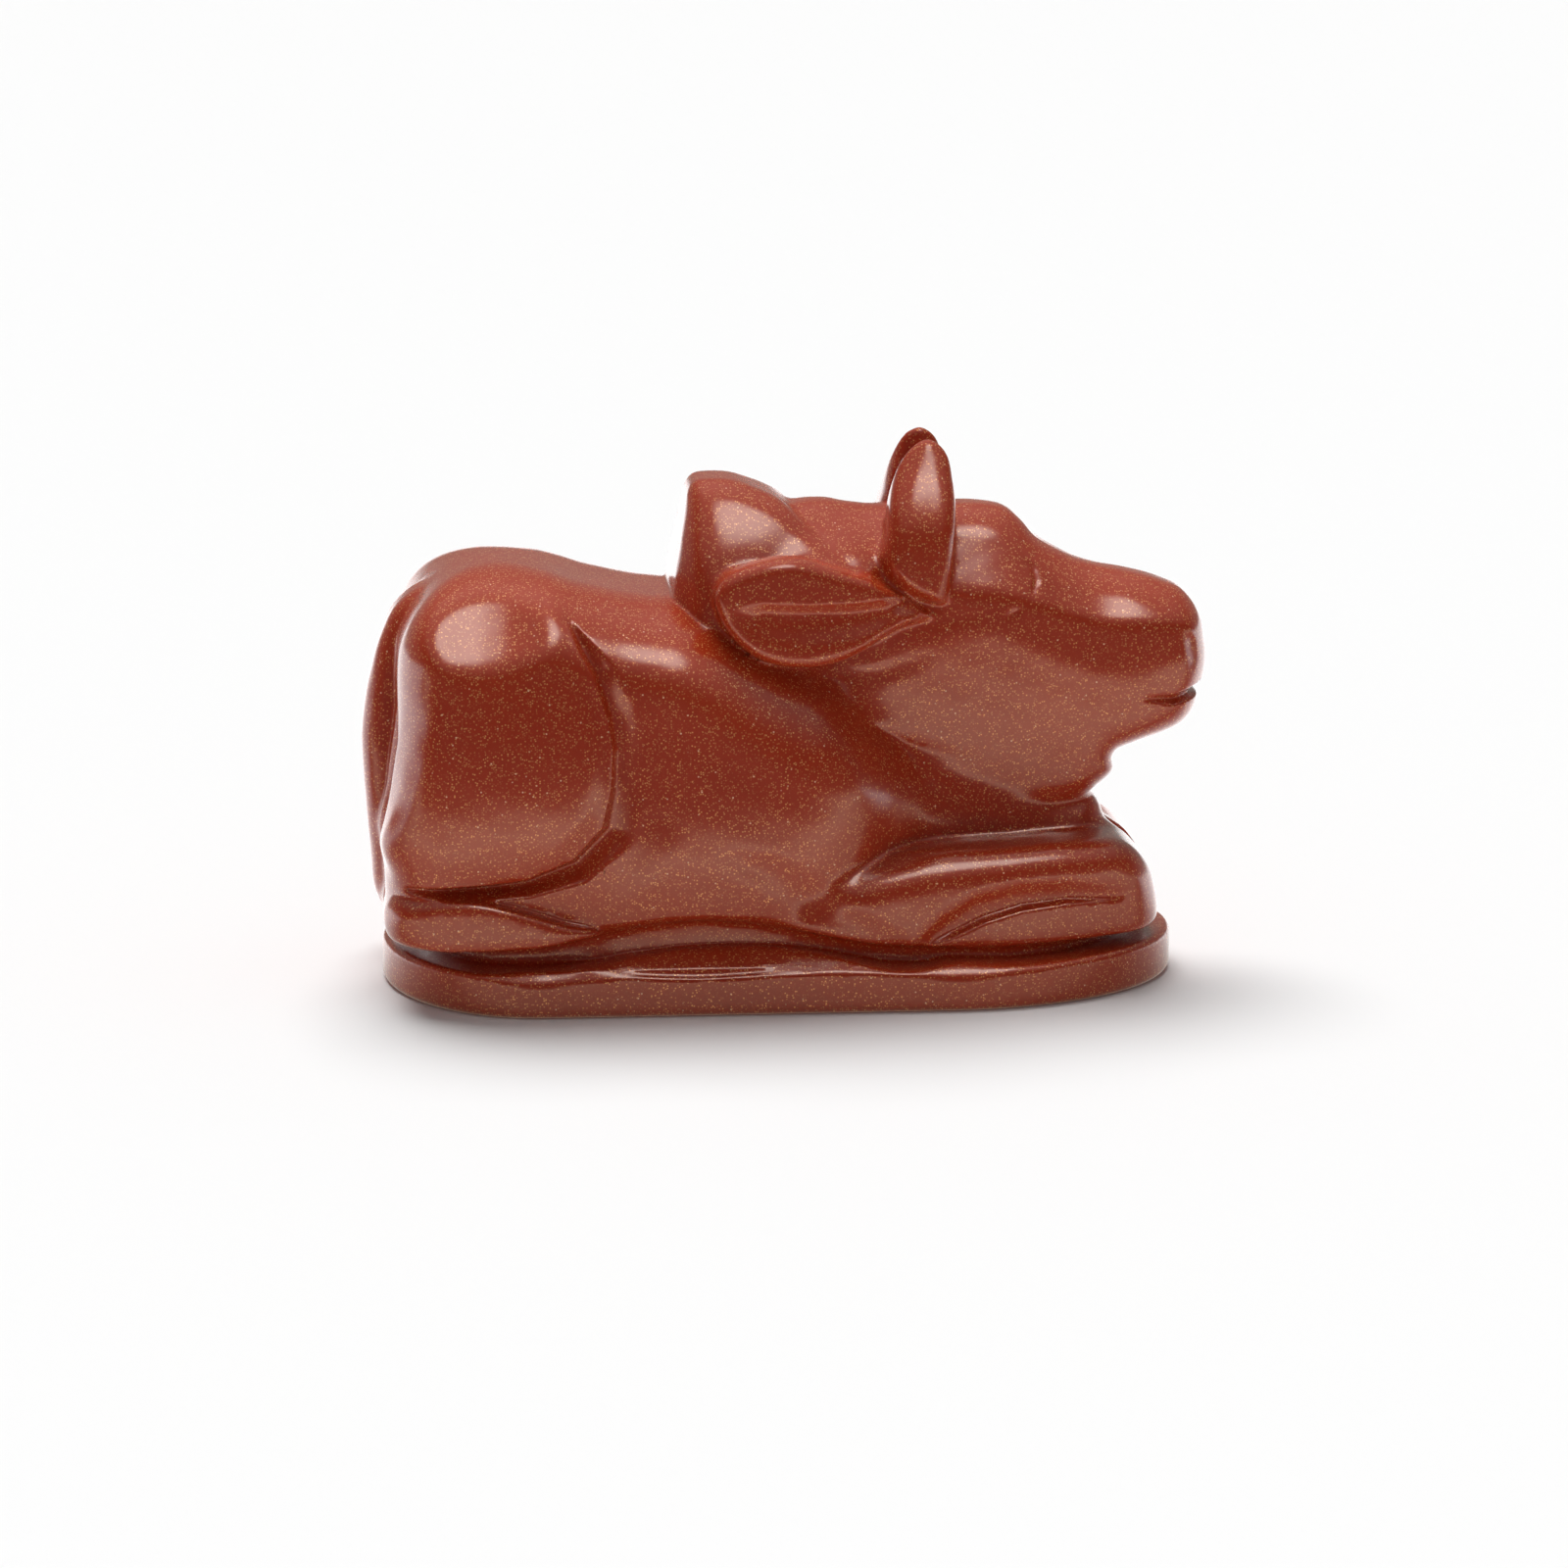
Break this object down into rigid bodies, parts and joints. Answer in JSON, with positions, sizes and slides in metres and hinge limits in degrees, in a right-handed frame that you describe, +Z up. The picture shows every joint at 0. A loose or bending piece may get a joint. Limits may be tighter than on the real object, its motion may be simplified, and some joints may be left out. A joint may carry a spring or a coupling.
{
  "type": "bull figurine",
  "caption": "Small reclining humped bull with short horns and laid-back ears, carved in one piece with its low plinth from polished glittering brown stone.",
  "frame": {"origin": "centre of the plinth's flat underside", "axes": "+X towards the bull's nose, along the longest extent; +Y towards its left side, the shortest extent; +Z up, square to the underside"},
  "size_m": [0.06, 0.028, 0.0383],
  "materials": {
    "goldstone": "polished, reddish brown with fine metallic glitter"
  },
  "bodies": {
    "root": {"reclining_bull": "goldstone"}
  },
  "joints": []
}
